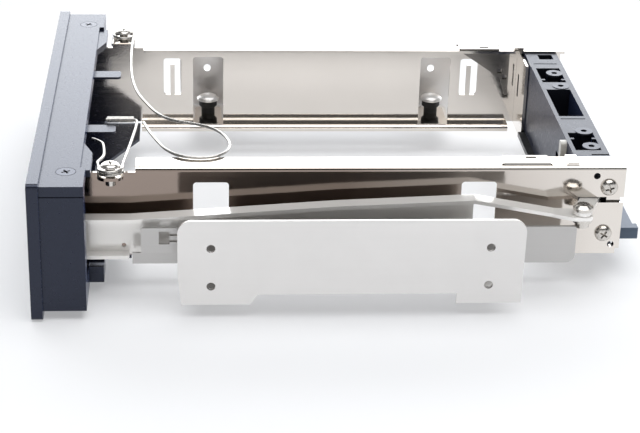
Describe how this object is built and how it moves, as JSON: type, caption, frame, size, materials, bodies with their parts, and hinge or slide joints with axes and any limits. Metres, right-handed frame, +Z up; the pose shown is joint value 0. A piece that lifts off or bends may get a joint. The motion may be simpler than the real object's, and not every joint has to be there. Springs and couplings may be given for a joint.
{
  "type": "hot swap drive cage",
  "caption": "Open metal cage with a plastic swing-door bezel that takes a bare 3.5 inch drive in a 5.25 inch bay and ejects it through a door-driven link and lever.",
  "frame": {"origin": "middle of the bounding box at its bottom, level with the bezel's lower edge", "axes": "+X to the right seen from the front, +Y to the rear, +Z up"},
  "size_m": [0.1486, 0.1792, 0.042],
  "materials": {
    "bezel_plastic": "fine spark texture, satin",
    "button_plastic": "satin",
    "lamp_plastic": "clear lens, gloss",
    "pin_steel": "turned",
    "rail_nickel": "bright nickel plate",
    "screw_steel": "nickel plated, satin",
    "damper_rubber": "moulded rubber",
    "bracket_steel": "plated, satin",
    "link_steel": "plated, satin",
    "spring_steel": "drawn wire and strip",
    "holder_plastic": "satin",
    "stop_plastic": "satin",
    "board_laminate": "solder mask",
    "plug_plastic": "satin",
    "socket_plastic": "satin"
  },
  "bodies": {
    "chassis": {"bezel_frame": "bezel_plastic", "lamp_lenses": "lamp_plastic", "hinge_pins": "pin_steel", "lever_pin": "pin_steel", "side_rail_right": "rail_nickel", "side_rail_left": "rail_nickel", "rear_bracket": "rail_nickel", "bezel_screws": "screw_steel", "post_screws": "screw_steel", "rear_screws": "screw_steel", "damper_screws": "screw_steel", "rubber_dampers": "damper_rubber", "mount_bracket_right": "bracket_steel", "mount_bracket_left": "bracket_steel", "link_guard_right": "bracket_steel", "guide_spring_right": "spring_steel", "guide_spring_left": "spring_steel", "torsion_spring_right": "spring_steel", "torsion_spring_left": "spring_steel", "wire_sleeve": "spring_steel", "connector_holder": "holder_plastic", "bump_stop": "stop_plastic", "backplane_board": "board_laminate", "drive_plug": "plug_plastic", "host_sockets": "socket_plastic"},
    "door": {"door": "bezel_plastic", "crank_pin": "pin_steel"},
    "eject_lever": {"eject_lever": "link_steel"},
    "eject_link": {"eject_link": "link_steel", "link_rivet": "pin_steel"},
    "release_button": {"release_button": "button_plastic"}
  },
  "joints": [
    {"name": "door_hinge", "type": "hinge", "parent": "chassis", "child": "door", "pos_m": [0.0575, -0.0826, 0.0205], "axis": [0, 0, 1], "range_deg": [0, 90]},
    {"name": "lever_pivot", "type": "hinge", "parent": "chassis", "child": "eject_lever", "pos_m": [0.048, 0.074, 0.0273], "axis": [0, 0, 1], "range_deg": [0, 22.3]},
    {"name": "link_pivot", "type": "hinge", "parent": "eject_lever", "child": "eject_link", "pos_m": [0.0608, 0.0685, 0.0273], "axis": [0, 0, 1], "range_deg": [-22.3, 0]},
    {"name": "button_slide", "type": "slide", "parent": "chassis", "child": "release_button", "axis": [0, 1, 0], "range_m": [0, 0.0025], "stiffness_N_per_m": 300}
  ],
  "couplings": [
    {"joint": "lever_pivot", "follows": "door_hinge", "ratio": 0.2461},
    {"joint": "link_pivot", "follows": "door_hinge", "ratio": -0.2461}
  ]
}
